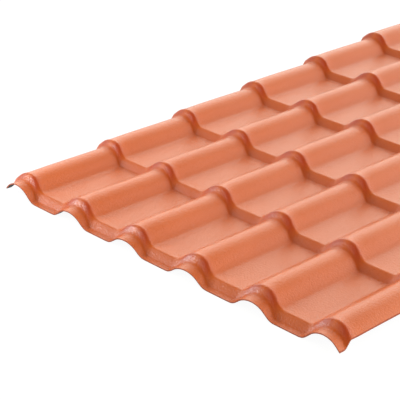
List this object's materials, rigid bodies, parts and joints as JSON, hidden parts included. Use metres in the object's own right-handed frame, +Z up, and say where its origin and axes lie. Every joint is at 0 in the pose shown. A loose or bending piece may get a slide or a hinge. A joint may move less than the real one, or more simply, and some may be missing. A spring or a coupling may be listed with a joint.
{
  "type": "pvc roofing sheet",
  "caption": "Tile-effect roofing sheet: one pressed PVC sheet with rounded humps, flat valleys and stepped courses, cut to stock length.",
  "frame": {"origin": "middle of the sheet's outline in plan, on the level floor that the valleys rest on", "axes": "+X across the waves, +Y up the roof from the eaves end to the ridge end, +Z up, the weather face"},
  "size_m": [0.872, 2.2, 0.041],
  "materials": {
    "pvc_skin": "satin"
  },
  "bodies": {
    "root": {"roofing_sheet": "pvc_skin"}
  },
  "joints": []
}
